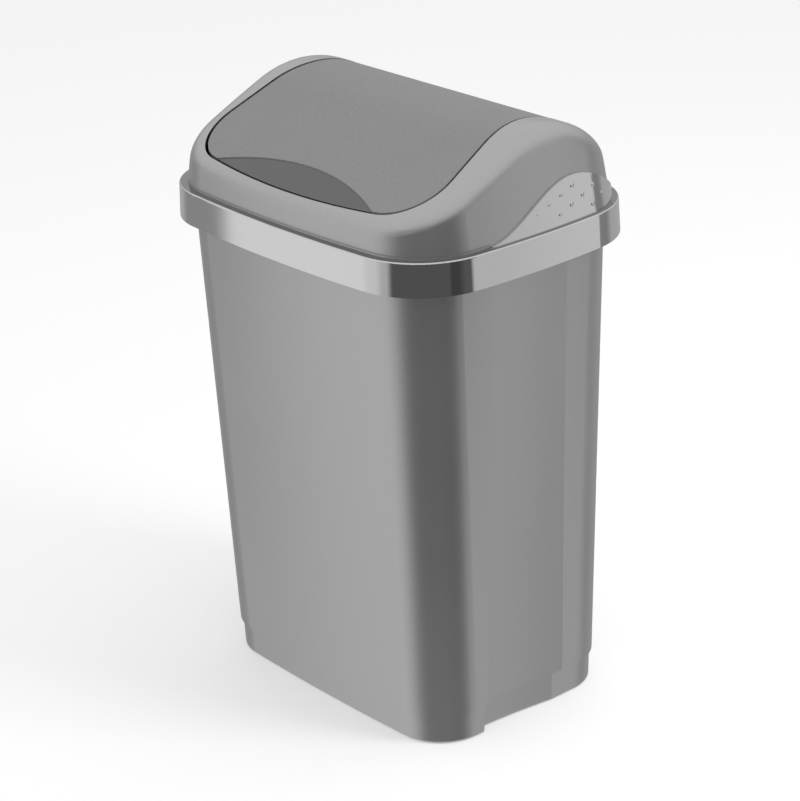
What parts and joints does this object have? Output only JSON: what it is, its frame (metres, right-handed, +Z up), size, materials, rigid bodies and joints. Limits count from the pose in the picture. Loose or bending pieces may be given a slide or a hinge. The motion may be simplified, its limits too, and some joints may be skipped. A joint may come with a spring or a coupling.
{
  "type": "swing-lid bin",
  "caption": "Free-standing rectangular bin with tapered bucket, bright trim ring with grip lobes, arched hood and a flap that swings both ways.",
  "frame": {"origin": "on the floor under the middle of the bin", "axes": "+Z up, front towards -Y, +X across the width"},
  "size_m": [0.3502, 0.2642, 0.515],
  "materials": {
    "bucket_plastic": "satin metallic grey",
    "ring_bright": "glossy silver",
    "hood_plastic": "satin metallic grey",
    "flap_plastic": "fine grained matt grey",
    "pad_gloss": "smooth dark grey"
  },
  "bodies": {
    "bucket": {"bin_bucket": "bucket_plastic"},
    "lid": {"trim_ring": "ring_bright", "lid_hood": "hood_plastic"},
    "flap": {"swing_flap": "flap_plastic", "push_pad": "pad_gloss"}
  },
  "joints": [
    {"name": "lid_lift", "type": "slide", "parent": "bucket", "child": "lid", "axis": [0, 0, 1], "range_m": [0, 0.12]},
    {"name": "flap_swing", "type": "hinge", "parent": "lid", "child": "flap", "pos_m": [0, -0.0035, 0.5], "axis": [1, 0, 0], "range_deg": [-60, 75]}
  ]
}
